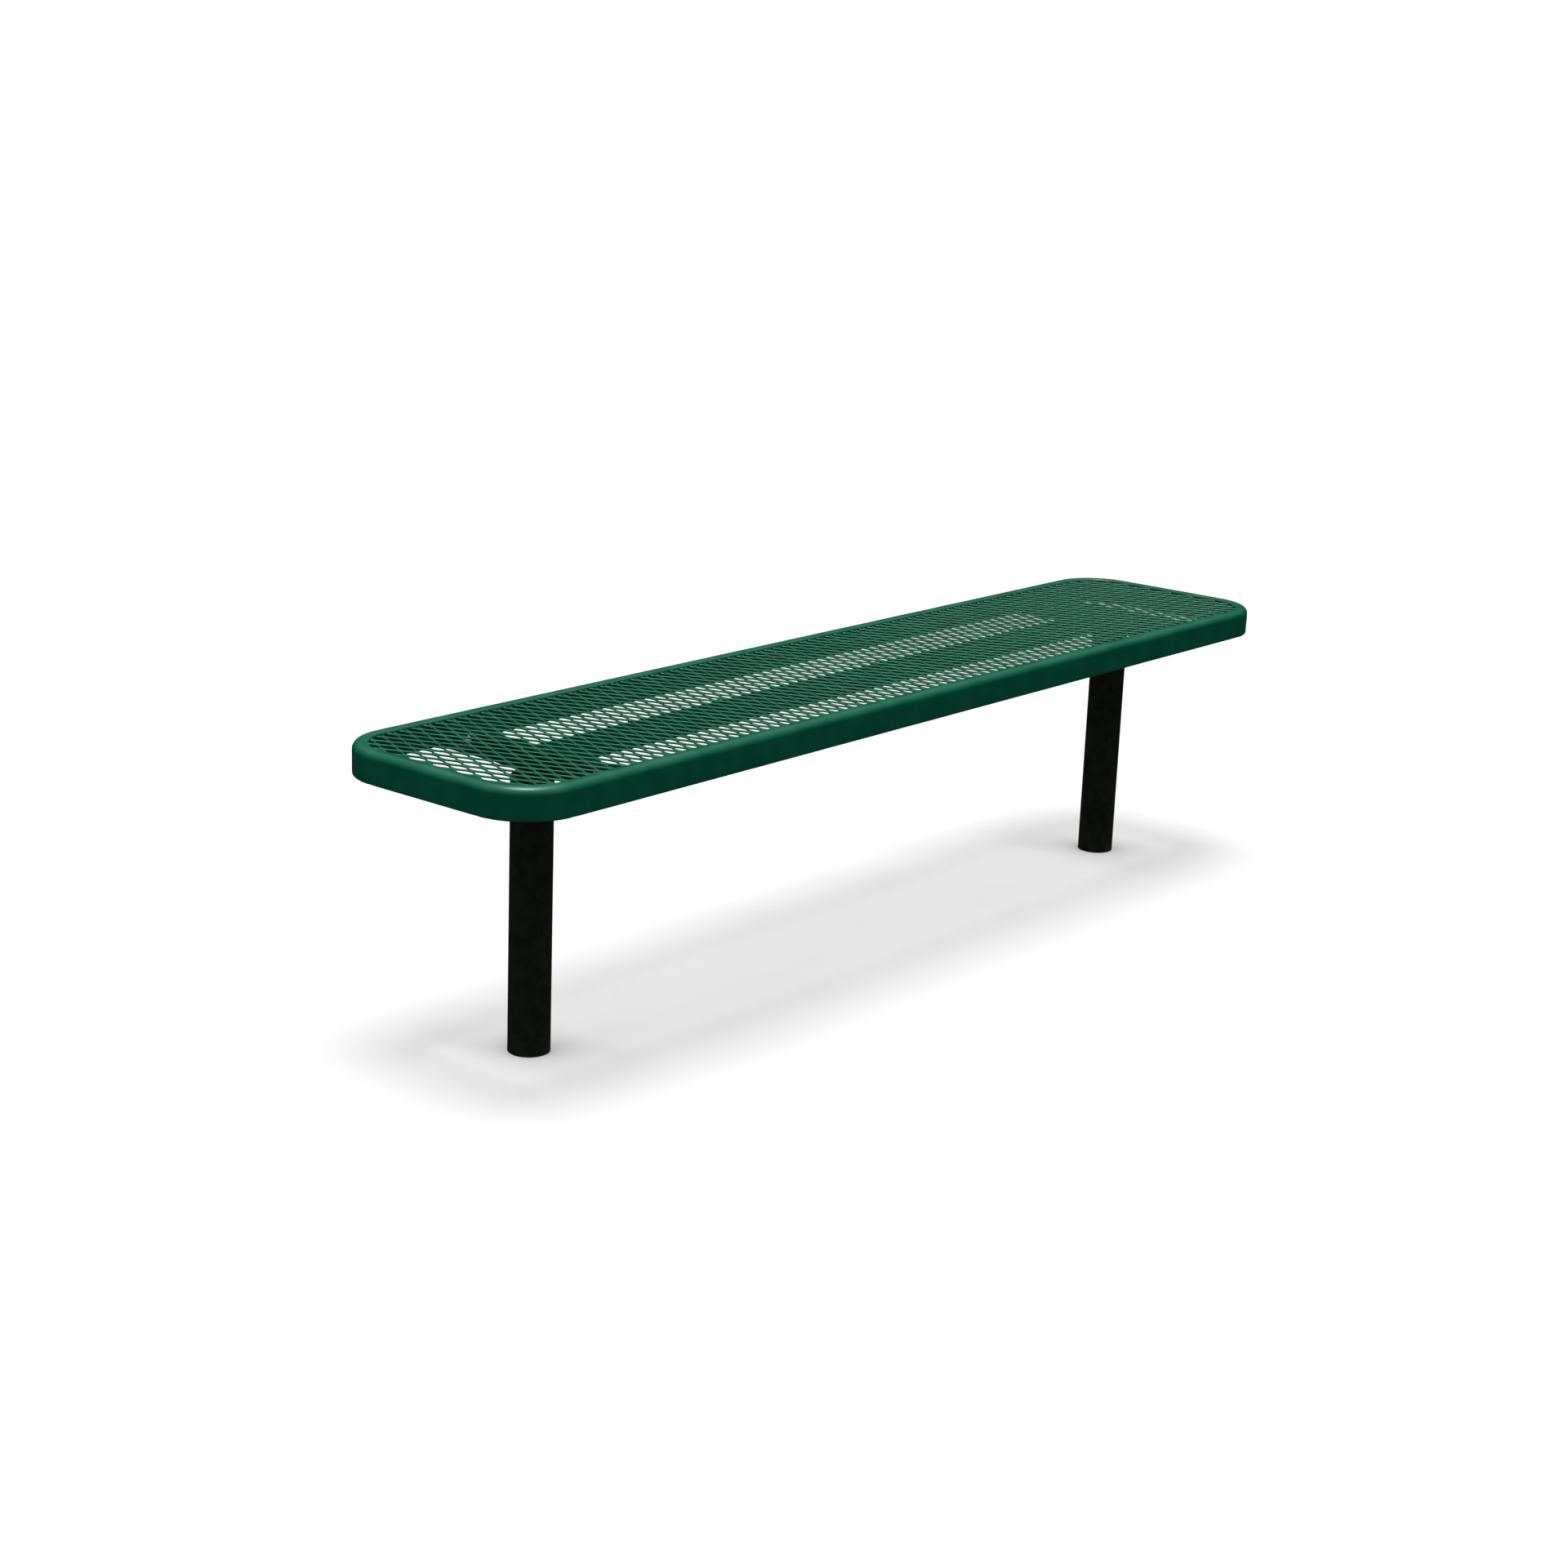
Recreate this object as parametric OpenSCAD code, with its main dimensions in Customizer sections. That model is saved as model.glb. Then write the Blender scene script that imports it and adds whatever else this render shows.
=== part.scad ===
// Backless park bench: a rolled-edge seat of coated expanded metal on two single round posts.
// Origin on the ground under the middle of the seat. +X runs along the seat, +Z is up.
// Coated pieces are drawn at their coated size.

/* [Seat] */
// Overall length of the seat
seat_l = 1828.8; // [1500:0.1:2440]
// Overall width of the seat
seat_w = 381; // [305:0.1:460]
// Height of the seat's top edge above the ground
seat_h = 446; // [370:0.5:540]
// Radius of the seat's corners, seen from above
corner_r = 88.9; // [60:0.1:110]

/* [Rolled edge] */
// Depth of the edge rails, from the top of the roll to the lower edge
rail_h = 46; // [40:0.5:60]
// Width of the rails' top flange, from the outer face to the mesh
rail_w = 22; // [16:0.5:28]
// Thickness of the rails
rail_t = 6.4; // [4:0.1:8]
// Outer radius of the roll along the rails' top edge
roll_r = 11; // [9:0.5:15]

/* [Expanded metal] */
// Pitch of the openings along the seat, their short way
mesh_swd = 22; // [18:0.5:30]
// Pitch of the openings across the seat, their long way
mesh_lwd = 45; // [36:0.5:60]
// Width of a strand, seen from above
strand_w = 3.4; // [2.4:0.1:5]
// Overall thickness of the raised mesh
mesh_t = 4; // [3:0.5:7]
// How far the mesh lies below the top of the rails
mesh_drop = 3; // [1:0.5:5]
// Solid margin where the mesh is welded to the rails
mesh_margin = 3; // [2:0.5:6]

/* [Seat frame] */
// Thickness of the flat bars on edge under the mesh
bar_t = 6; // [4:0.5:8]
// Clearance between the cross bars' notched ends and the top flange of the rails
flange_gap = 0.5; // [0.2:0.1:2]

/* [Legs] */
// Distance from each end of the seat to the post's axis
end_overhang = 203.2; // [150:0.1:300]
// Outside diameter of the posts
post_d = 60.325; // [48.3:0.005:73]
// Wall of the posts
post_wall = 3.9; // [2.6:0.1:5.2]
// Gap between the top of the posts and the bars of the seat
post_top_gap = 2; // [1:0.5:6]
// Thickness of the saddle plates
plate_t = 6.4; // [4.8:0.1:10]
// Gap between each end of a saddle plate and the inside of the rails
plate_end_gap = 30; // [5:0.5:45]
// How far the top edge of a saddle plate lies below the top of the seat's bars
plate_drop = 5; // [2:0.5:10]
// Height of the ends of a saddle plate
plate_end_h = 27; // [22:0.5:30]
// Depth of the slot in the post that holds the saddle plate
slot_h = 48; // [30:1:70]
// Clearance between a saddle plate and each side of its slot
slot_gap = 0.1; // [0.05:0.05:0.5]
// How far each edge of a saddle plate's tongue lies inside the post's outer face
tongue_inset = 0.5; // [0.3:0.1:2]
// Distance from the post's outer face to where a saddle plate's lower edge starts to rise
plate_shoulder = 4; // [2:0.5:10]

/* [Fasteners] */
// Diameter of the bolts
bolt_d = 9.525; // [8:0.005:10]
// Length of the bolts under the head
bolt_l = 31.75; // [30:0.05:38]
// Width of the bolt heads and nuts across flats
bolt_af = 14.3; // [13:0.1:17]
// Height of the bolt heads
head_h = 6.1; // [5:0.1:8]
// Height of the nuts
nut_h = 8.3; // [6:0.1:10]
// Distance from a saddle plate's end to the bolt's axis
bolt_edge = 30; // [20:0.5:50]
// Clearance between a bolt and each hole that it passes through, on the radius
bolt_gap = 0.4; // [0.2:0.05:1]
// Clearance between a bolt and its nut, on the radius
thread_gap = 0.05; // [0.02:0.01:0.1]
// Outside diameter of the flat washers
washer_d = 20.6; // [18:0.1:22]
// Thickness of the flat washers
washer_t = 1.6; // [1.2:0.1:2.5]
// Outside diameter of the lock washers
lock_d = 16.2; // [14:0.1:20]
// Thickness of the lock washers
lock_t = 2.4; // [1.6:0.1:3]
// Slit in the lock washers
lock_slit = 1.4; // [0.8:0.1:3]

/* [Hidden] */
$fn = 96;

seat_green = "darkgreen";
post_black = "black";
zinc = "silver";

// Extra length of a cutting solid beyond the face that it cuts.
cut = 1;
// Straight stretches of the rails between the corners, and the clear width between the rails.
rail_l = seat_l - 2 * corner_r;
rail_end_l = seat_w - 2 * corner_r;
inner_w = seat_w - 2 * rail_t;
// Heights of the mesh, and of the bars between it and the rails' lower edge.
mesh_bottom = seat_h - mesh_drop - mesh_t;
bar_bottom = seat_h - rail_h;
bar_h = mesh_bottom - bar_bottom;
// The posts, and the saddle plates in their slots.
post_x = seat_l / 2 - end_overhang;
post_top = bar_bottom - post_top_gap;
slot_bottom = post_top - slot_h;
plate_top = mesh_bottom - plate_drop;
plate_l = inner_w - 2 * plate_end_gap;
// A cross bar lies against the inner face of each saddle plate, measured from the post's axis.
bar_out = plate_t / 2;
bar_in = bar_out + bar_t;
// The bolts pass through the saddle plate and the cross bar, along the seat.
bolt_y = plate_l / 2 - bolt_edge;
bolt_z = plate_top - plate_end_h / 2;

// Places something at the left (side = -1) or right (side = 1) post.
module at_post(side) {
    translate([side * post_x, 0, 0])
        children();
}

// Repeats something at the two bolts of one post, with +Z turned to point towards the middle of the seat.
module at_bolts(side) {
    for (end = [-1, 1])
        translate([side * post_x, end * bolt_y, bolt_z])
            rotate([0, -side * 90, 0])
                children();
}

// A rectangle with round corners, centred on the origin.
module round_rect(l, w, r) {
    union() {
        square([l - 2 * r, w], center = true);
        square([l, w - 2 * r], center = true);
        for (sx = [-1, 1])
            for (sy = [-1, 1])
                translate([sx * (l / 2 - r), sy * (w / 2 - r)])
                    circle(r);
    }
}

// Section of the rolled edge: the outer face is at x = 0, the inside at +x and the top at y = 0.
module rail_section() {
    difference() {
        union() {
            translate([0, -rail_h])
                square([rail_t, rail_h - roll_r]);
            translate([roll_r, -rail_t])
                square([rail_w - roll_r, rail_t]);
            intersection() {
                translate([roll_r, -roll_r])
                    circle(roll_r);
                translate([0, -roll_r])
                    square(roll_r);
            }
        }
        intersection() {
            translate([roll_r, -roll_r])
                circle(roll_r - rail_t);
            translate([0, -roll_r - cut])
                square(roll_r + cut);
        }
    }
}

// A straight rail of length l along X, with its outer face at y = 0 facing -Y.
module straight_rail(l) {
    translate([-l / 2, 0, seat_h])
        rotate([90, 0, 90])
            linear_extrude(l)
                rail_section();
}

// A corner rail, turning from the front face to the right end, around its own centre.
module corner_rail() {
    translate([0, 0, seat_h])
        rotate([0, 0, -90])
            rotate_extrude(angle = 90)
                translate([corner_r, 0])
                    mirror([1, 0])
                        rail_section();
}

module front_rail() {
    color(seat_green)
        translate([0, -seat_w / 2, 0])
            straight_rail(rail_l);
}

module back_rail() {
    color(seat_green)
        rotate([0, 0, 180])
            translate([0, -seat_w / 2, 0])
                straight_rail(rail_l);
}

module end_rail(side) {
    color(seat_green)
        rotate([0, 0, side * 90])
            translate([0, -seat_l / 2, 0])
                straight_rail(rail_end_l);
}

module left_rail() {
    end_rail(-1);
}

module right_rail() {
    end_rail(1);
}

// The corner at the left or right (sx) of the front or back (sy).
module corner(sx, sy) {
    turn = sx > 0 ? (sy < 0 ? 0 : 90) : (sy > 0 ? 180 : 270);
    color(seat_green)
        translate([sx * (seat_l / 2 - corner_r), sy * (seat_w / 2 - corner_r), 0])
            rotate([0, 0, turn])
                corner_rail();
}

module front_left_corner() {
    corner(-1, -1);
}

module front_right_corner() {
    corner(1, -1);
}

module back_left_corner() {
    corner(-1, 1);
}

module back_right_corner() {
    corner(1, 1);
}

// Outline of the mesh panel, moved inwards by inset.
module panel_outline(inset) {
    edge = rail_w + inset;
    round_rect(seat_l - 2 * edge, seat_w - 2 * edge, corner_r - edge);
}

// One opening of the mesh, long way along Y: its tile drawn in by half a strand on each side.
module mesh_opening() {
    half_x = mesh_swd / 2;
    half_y = mesh_lwd / 2;
    part = 1 - strand_w / 2 * norm([half_x, half_y]) / (half_x * half_y);
    polygon([[part * half_x, 0], [0, part * half_y], [-part * half_x, 0], [0, -part * half_y]]);
}

// The staggered rows of openings, from one edge of the panel to the other.
module mesh_openings() {
    cols = ceil(seat_l / 2 / mesh_swd);
    rows = ceil(seat_w / mesh_lwd);
    for (row = [-rows:rows])
        for (col = [-cols:cols])
            translate([(col + (row % 2 == 0 ? 0 : 0.5)) * mesh_swd, row * mesh_lwd / 2])
                mesh_opening();
}

// Expanded metal: a plate with its openings inside a solid margin that is welded to the rails.
module mesh_panel() {
    color(seat_green)
        translate([0, 0, mesh_bottom])
            linear_extrude(mesh_t)
                difference() {
                    panel_outline(0);
                    intersection() {
                        panel_outline(mesh_margin);
                        mesh_openings();
                    }
                }
}

// The flat bar on edge along the middle of the seat, between the cross bars.
module center_stiffener() {
    l = 2 * (post_x - bar_in);
    color(seat_green)
        translate([-l / 2, -bar_t / 2, bar_bottom])
            cube([l, bar_t, bar_h]);
}

// Section of the notch in the cross bars' ends, which clears the roll and the flange of the rails.
module bar_notch() {
    flange_low = -rail_t - flange_gap;
    flange_in = seat_w / 2 - rail_w - flange_gap;
    polygon([[inner_w / 2, -roll_r], [inner_w / 2 + cut, -roll_r], [inner_w / 2 + cut, 0], [flange_in, 0],
        [flange_in, flange_low], [inner_w / 2 - roll_r - flange_low, flange_low]]);
}

// A flat bar on edge across the seat, between the front and back rails, with its bolt holes.
module cross_bar(side) {
    color(seat_green)
        difference() {
            translate([side * (post_x - (bar_out + bar_in) / 2), 0, bar_bottom + bar_h / 2])
                cube([bar_t, inner_w, bar_h], center = true);
            for (end = [0, 1])
                mirror([0, end, 0])
                    translate([side * post_x - bar_in - cut, 0, seat_h])
                        rotate([90, 0, 90])
                            linear_extrude(2 * (bar_in + cut))
                                bar_notch();
            at_bolts(side)
                translate([0, 0, bar_out - cut])
                    cylinder(h = bar_t + 2 * cut, d = bolt_d + 2 * bolt_gap);
        }
}

module left_cross_bar() {
    cross_bar(-1);
}

module right_cross_bar() {
    cross_bar(1);
}

// A post: round tube from the ground up, slotted at the top for its saddle plate.
module post(side) {
    color(post_black)
        at_post(side)
            difference() {
                cylinder(h = post_top, d = post_d);
                translate([0, 0, -cut])
                    cylinder(h = post_top + 2 * cut, d = post_d - 2 * post_wall);
                translate([-plate_t / 2 - slot_gap, -post_d / 2 - cut, slot_bottom])
                    cube([plate_t + 2 * slot_gap, post_d + 2 * cut, slot_h + cut]);
            }
}

module left_post() {
    post(-1);
}

module right_post() {
    post(1);
}

// Outline of a saddle plate: length along x, height along y. Its tongue goes down into the post.
module saddle_outline() {
    half = plate_l / 2;
    end_z = plate_top - plate_end_h;
    shoulder = post_d / 2 + plate_shoulder;
    tongue = post_d / 2 - tongue_inset;
    polygon([[-half, plate_top], [-half, end_z], [-shoulder, bar_bottom], [-tongue, bar_bottom],
        [-tongue, slot_bottom], [tongue, slot_bottom], [tongue, bar_bottom], [shoulder, bar_bottom],
        [half, end_z], [half, plate_top]]);
}

// The plate that stands in the slot of a post and carries the seat.
module saddle_plate(side) {
    color(post_black)
        difference() {
            translate([side * post_x - plate_t / 2, 0, 0])
                rotate([90, 0, 90])
                    linear_extrude(plate_t)
                        saddle_outline();
            at_bolts(side)
                translate([0, 0, -bar_out - cut])
                    cylinder(h = plate_t + 2 * cut, d = bolt_d + 2 * bolt_gap);
        }
}

module left_saddle_plate() {
    saddle_plate(-1);
}

module right_saddle_plate() {
    saddle_plate(1);
}

// A hexagon of the bolt heads' and nuts' size, h high.
module hexagon(h) {
    cylinder(h = h, d = bolt_af / cos(30), $fn = 6);
}

// A washer of outside diameter d and thickness t.
module washer(d, t) {
    difference() {
        cylinder(h = t, d = d);
        translate([0, 0, -cut])
            cylinder(h = t + 2 * cut, d = bolt_d + 2 * bolt_gap);
    }
}

// Hexagon-head bolts, with their heads on the outer side of the saddle plate.
module bolts(side) {
    color(zinc)
        at_bolts(side)
            translate([0, 0, -bar_out - washer_t])
                union() {
                    translate([0, 0, -head_h])
                        hexagon(head_h);
                    cylinder(h = bolt_l, d = bolt_d);
                }
}

module left_bolts() {
    bolts(-1);
}

module right_bolts() {
    bolts(1);
}

// Flat washers: one under each bolt head and one against the cross bar.
module flat_washers(side) {
    color(zinc)
        at_bolts(side)
            for (z = [-bar_out - washer_t, bar_in])
                translate([0, 0, z])
                    washer(washer_d, washer_t);
}

module left_flat_washers() {
    flat_washers(-1);
}

module right_flat_washers() {
    flat_washers(1);
}

// Split lock washers under the nuts.
module lock_washers(side) {
    color(zinc)
        at_bolts(side)
            translate([0, 0, bar_in + washer_t])
                difference() {
                    washer(lock_d, lock_t);
                    translate([0, -lock_slit / 2, -cut])
                        cube([lock_d, lock_slit, lock_t + 2 * cut]);
                }
}

module left_lock_washers() {
    lock_washers(-1);
}

module right_lock_washers() {
    lock_washers(1);
}

// Nuts on the inner ends of the bolts.
module nuts(side) {
    color(zinc)
        at_bolts(side)
            translate([0, 0, bar_in + washer_t + lock_t])
                difference() {
                    hexagon(nut_h);
                    translate([0, 0, -cut])
                        cylinder(h = nut_h + 2 * cut, d = bolt_d + 2 * thread_gap);
                }
}

module left_nuts() {
    nuts(-1);
}

module right_nuts() {
    nuts(1);
}

front_rail();
back_rail();
left_rail();
right_rail();
front_left_corner();
front_right_corner();
back_left_corner();
back_right_corner();
mesh_panel();
center_stiffener();
left_cross_bar();
right_cross_bar();
left_post();
right_post();
left_saddle_plate();
right_saddle_plate();
left_bolts();
right_bolts();
left_flat_washers();
right_flat_washers();
left_lock_washers();
right_lock_washers();
left_nuts();
right_nuts();
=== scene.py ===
"""Visual model of a backless park bench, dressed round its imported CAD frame.

Metres throughout: +X runs along the seat, +Y across it towards the back, +Z up from the ground.
"""

import logging
import math
from collections.abc import Callable, Iterable, Sequence
from dataclasses import dataclass
from enum import Enum

import bmesh
import bpy
from mathutils import Matrix, Vector, noise
from mathutils.geometry import tessellate_polygon


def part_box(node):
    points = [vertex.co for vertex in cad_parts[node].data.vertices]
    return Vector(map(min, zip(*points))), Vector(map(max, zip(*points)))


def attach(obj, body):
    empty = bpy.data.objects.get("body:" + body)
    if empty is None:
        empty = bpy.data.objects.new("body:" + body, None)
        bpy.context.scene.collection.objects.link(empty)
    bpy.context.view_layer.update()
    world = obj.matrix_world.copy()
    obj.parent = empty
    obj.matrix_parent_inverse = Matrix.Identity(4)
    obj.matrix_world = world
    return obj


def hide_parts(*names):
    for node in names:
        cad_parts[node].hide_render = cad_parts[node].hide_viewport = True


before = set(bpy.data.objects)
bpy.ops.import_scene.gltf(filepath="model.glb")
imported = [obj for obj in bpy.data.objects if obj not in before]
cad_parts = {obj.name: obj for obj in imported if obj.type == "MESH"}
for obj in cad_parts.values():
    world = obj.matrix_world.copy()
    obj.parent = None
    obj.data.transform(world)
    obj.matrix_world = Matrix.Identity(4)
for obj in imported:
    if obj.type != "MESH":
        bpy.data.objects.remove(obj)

log = logging.getLogger("bench")

MM = 0.001
BOLT_HOLE = 5.2 * MM
BODY = "root"

Point2 = tuple[float, float]

# Stands a plate's own plane upright across the seat.
ACROSS = Matrix(((0, 0, 1, 0), (1, 0, 0, 0), (0, 1, 0, 0), (0, 0, 0, 1)))


class Side(Enum):
    """The two ends of the bench."""

    LEFT = -1
    RIGHT = 1

    @property
    def word(self) -> str:
        """The side's name as the frame's nodes spell it."""
        return self.name.lower()


class Grain(Enum):
    """Which way the ribbons of the expanded metal lean."""

    RISES_TO_RIGHT = 1
    RISES_TO_LEFT = -1


def centre(node: str) -> Vector:
    """Middle of a frame node's box."""
    low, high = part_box(node)
    return (low + high) / 2


def extent(node: str) -> Vector:
    """Size of a frame node's box along each axis."""
    low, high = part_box(node)
    return high - low


def bolt_places(side: Side) -> list[Point2]:
    """Place across the seat and height of each bolt's axis on one leg, from its round washers."""
    low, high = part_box(f"{side.word}_flat_washers")
    radius, z = (high.z - low.z) / 2, (low.z + high.z) / 2
    return [(low.y + radius, z), (high.y - radius, z)]


# ---------------------------------------------------------------------------------------------
# Mesh tools
# ---------------------------------------------------------------------------------------------


class Draft:
    """Collects the points and faces of one piece before it becomes an object."""

    def __init__(self) -> None:
        """Starts an empty draft."""
        self.points: list[Vector] = []
        self.faces: list[tuple[int, ...]] = []

    def point(self, place: Vector) -> int:
        """Adds a point and gives its number."""
        self.points.append(place)
        return len(self.points) - 1

    def face(self, *corners: int) -> None:
        """Adds a face through these points."""
        self.faces.append(corners)

    def ring(self, places: Iterable[Vector]) -> list[int]:
        """Adds a row of points and gives their numbers."""
        return [self.point(place) for place in places]

    def bridge(self, first: Sequence[int], second: Sequence[int]) -> None:
        """Joins two rings of the same length with quads.

        Args:
            first: Numbers of the first ring's points.
            second: Numbers of the second ring's points.
        """
        count = len(first)
        for i in range(count):
            j = (i + 1) % count
            self.face(first[i], first[j], second[j], second[i])

    def loft(self, rings: Sequence[Sequence[int]], capped: bool = True) -> None:
        """Joins rings in order into one closed skin.

        Args:
            rings: Rings of point numbers, all the same length.
            capped: Whether the first and last ring are closed with a face.
        """
        for first, second in zip(rings, rings[1:]):
            self.bridge(first, second)
        if capped:
            self.face(*rings[0])
            self.face(*rings[-1])

    def moved(self, matrix: Matrix, start: int = 0) -> None:
        """Moves the points from number start on by a matrix."""
        for i in range(start, len(self.points)):
            self.points[i] = matrix @ self.points[i]

    def build(self, name: str, smooth_below: float = 50.0) -> bpy.types.Object:
        """Turns the draft into a mesh object.

        Args:
            name: Name of the piece.
            smooth_below: Edges that turn by less than this many degrees are shaded smooth.

        Returns:
            The new object, linked to the scene.
        """
        mesh = bpy.data.meshes.new(name)
        mesh.from_pydata([tuple(p) for p in self.points], [], self.faces)
        work = bmesh.new()
        work.from_mesh(mesh)
        bmesh.ops.recalc_face_normals(work, faces=work.faces)
        work.to_mesh(mesh)
        work.free()
        mesh.shade_smooth()
        mesh.set_sharp_from_angle(angle=math.radians(smooth_below))
        piece = bpy.data.objects.new(name, mesh)
        bpy.context.scene.collection.objects.link(piece)
        return piece


def arc(middle: Point2, radius: float, start: float, stop: float, steps: int) -> list[Point2]:
    """Points on an arc, both ends included.

    Args:
        middle: Centre of the arc.
        radius: Its radius.
        start: Start angle in degrees.
        stop: Stop angle in degrees.
        steps: Number of steps.

    Returns:
        The points in order.
    """
    angles = [math.radians(start + (stop - start) * i / steps) for i in range(steps + 1)]
    return [(middle[0] + radius * math.cos(a), middle[1] + radius * math.sin(a)) for a in angles]


def line(start: Point2, stop: Point2, steps: int) -> list[Point2]:
    """Points strictly between two ends, spaced evenly.

    Args:
        start: First end, left out.
        stop: Last end, left out.
        steps: Number of steps.

    Returns:
        The inner points in order.
    """
    return [
        (start[0] + (stop[0] - start[0]) * i / steps, start[1] + (stop[1] - start[1]) * i / steps)
        for i in range(1, steps)
    ]


def inset(loop: Sequence[Point2], depth: float) -> list[Point2]:
    """Moves each side of a closed anticlockwise outline inwards.

    Args:
        loop: Corners of the outline.
        depth: Distance to move each side.

    Returns:
        The moved corners.
    """
    moved = []
    for i, corner in enumerate(loop):
        here = Vector(corner)
        before = (here - Vector(loop[i - 1])).normalized()
        after = (Vector(loop[(i + 1) % len(loop)]) - here).normalized()
        n1, n2 = Vector((-before.y, before.x)), Vector((-after.y, after.x))
        moved.append(tuple(here + (n1 + n2) * (depth / (1 + n1.dot(n2)))))
    return moved


def rounded(loop: Sequence[Point2], radius: float, steps: int = 4) -> list[Point2]:
    """Rounds every corner of a closed outline.

    Args:
        loop: Corners of the outline.
        radius: Length cut from each side at a corner.
        steps: Number of steps at each corner.

    Returns:
        The rounded outline.
    """
    out = []
    for i, corner in enumerate(loop):
        here = Vector(corner)
        start = here + (Vector(loop[i - 1]) - here).normalized() * radius
        stop = here + (Vector(loop[(i + 1) % len(loop)]) - here).normalized() * radius
        for k in range(steps + 1):
            f = k / steps
            out.append(tuple(start * (1 - f) ** 2 + here * (2 * f * (1 - f)) + stop * f**2))
    return out


def ripple(place: Vector, size: float) -> float:
    """Smooth unevenness from 0 to 1 at a place, for waves of about this size."""
    return 0.5 + 0.5 * noise.noise(place / size)


# ---------------------------------------------------------------------------------------------
# Finishes
# ---------------------------------------------------------------------------------------------


class NodeGraph:
    """Short calls for wiring shader nodes in a material or a group."""

    def __init__(self, tree: bpy.types.NodeTree) -> None:
        """Works on this node tree."""
        self.tree = tree

    def add(self, kind: str, **settings: object) -> bpy.types.Node:
        """Adds a node.

        Args:
            kind: Blender's name of the node type.
            **settings: Properties of the node to set.

        Returns:
            The new node.
        """
        node = self.tree.nodes.new(kind)
        for key, value in settings.items():
            setattr(node, key, value)
        return node

    def wire(self, out: bpy.types.NodeSocket, into: bpy.types.NodeSocket) -> None:
        """Links an output to an input."""
        self.tree.links.new(out, into)

    def feed(self, socket: bpy.types.NodeSocket, value: object) -> None:
        """Links a socket into this one, or sets its value."""
        if isinstance(value, bpy.types.NodeSocket):
            self.wire(value, socket)
        else:
            socket.default_value = value

    def maths(self, operation: str, a: object, b: object = 0.5, c: object = 0.5) -> bpy.types.NodeSocket:
        """A Math node.

        Args:
            operation: Name of the operation.
            a: First value or socket.
            b: Second value or socket.
            c: Third value or socket, where the operation has one.

        Returns:
            The node's output.
        """
        node = self.add("ShaderNodeMath", operation=operation)
        for socket, value in zip(node.inputs, (a, b, c)):
            self.feed(socket, value)
        return node.outputs[0]

    def grain(
        self, place: object, scale: object, detail: float = 2.0, rough: float = 0.5
    ) -> bpy.types.NodeSocket:
        """A noise texture's value.

        Args:
            place: Coordinates.
            scale: Waves to a metre.
            detail: Number of finer layers.
            rough: Weight of the finer layers.

        Returns:
            The noise, mostly between 0.3 and 0.7.
        """
        node = self.add("ShaderNodeTexNoise")
        self.feed(node.inputs["Vector"], place)
        self.feed(node.inputs["Scale"], scale)
        node.inputs["Detail"].default_value = detail
        node.inputs["Roughness"].default_value = rough
        return node.outputs["Fac"]

    def span(
        self, value: object, low: float, high: float, to_low: float = 0.0, to_high: float = 1.0
    ) -> bpy.types.NodeSocket:
        """Maps a range onto another, clamped.

        Args:
            value: Value or socket to map.
            low: Start of the range.
            high: End of the range.
            to_low: Result at the start.
            to_high: Result at the end.

        Returns:
            The mapped value.
        """
        node = self.add("ShaderNodeMapRange", interpolation_type="SMOOTHSTEP")
        for socket, item in zip(node.inputs, (value, low, high, to_low, to_high)):
            self.feed(socket, item)
        return node.outputs["Result"]

    def blend(self, factor: object, a: object, b: object) -> bpy.types.NodeSocket:
        """Mixes two colours.

        Args:
            factor: Share of the second colour.
            a: First colour.
            b: Second colour.

        Returns:
            The mixed colour.
        """
        node = self.add("ShaderNodeMix", data_type="RGBA", blend_type="MIX")
        self.feed(node.inputs[0], factor)
        self.feed(node.inputs[6], a)
        self.feed(node.inputs[7], b)
        return node.outputs[2]


def shader_group(
    name: str, inputs: dict[str, float], outputs: Sequence[str]
) -> tuple[bpy.types.NodeTree, NodeGraph, bpy.types.Node, bpy.types.Node]:
    """Starts a shader node group with number sockets.

    Args:
        name: Name of the group.
        inputs: Name and usual value of each input.
        outputs: Names of the outputs.

    Returns:
        The group's tree, a graph on it, and its input and output nodes.
    """
    tree = bpy.data.node_groups.new(name, "ShaderNodeTree")
    for label, value in inputs.items():
        socket = tree.interface.new_socket(name=label, in_out="INPUT", socket_type="NodeSocketFloat")
        socket.default_value = value
    for label in outputs:
        tree.interface.new_socket(name=label, in_out="OUTPUT", socket_type="NodeSocketFloat")
    graph = NodeGraph(tree)
    return tree, graph, graph.add("NodeGroupInput"), graph.add("NodeGroupOutput")


def coat_relief_group() -> bpy.types.NodeTree:
    """Relief of a cured coating: long flow waves and fine orange peel, and where it gathers.

    Returns:
        The group, with the outputs Relief and Flow.
    """
    tree, graph, given, made = shader_group(
        "coat_relief",
        {"Peel Scale": 400.0, "Peel Share": 0.5, "Flow Scale": 40.0, "Flow Share": 0.5},
        ("Relief", "Flow"),
    )
    place = graph.add("ShaderNodeTexCoord").outputs["Object"]
    peel = graph.grain(place, given.outputs["Peel Scale"], 2.0, 0.45)
    flow = graph.grain(place, given.outputs["Flow Scale"], 2.0, 0.4)
    fine = graph.maths("MULTIPLY", peel, given.outputs["Peel Share"])
    broad = graph.maths("MULTIPLY", flow, given.outputs["Flow Share"])
    graph.wire(graph.maths("ADD", fine, broad), made.inputs["Relief"])
    graph.wire(graph.span(flow, 0.3, 0.7), made.inputs["Flow"])
    return tree


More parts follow.
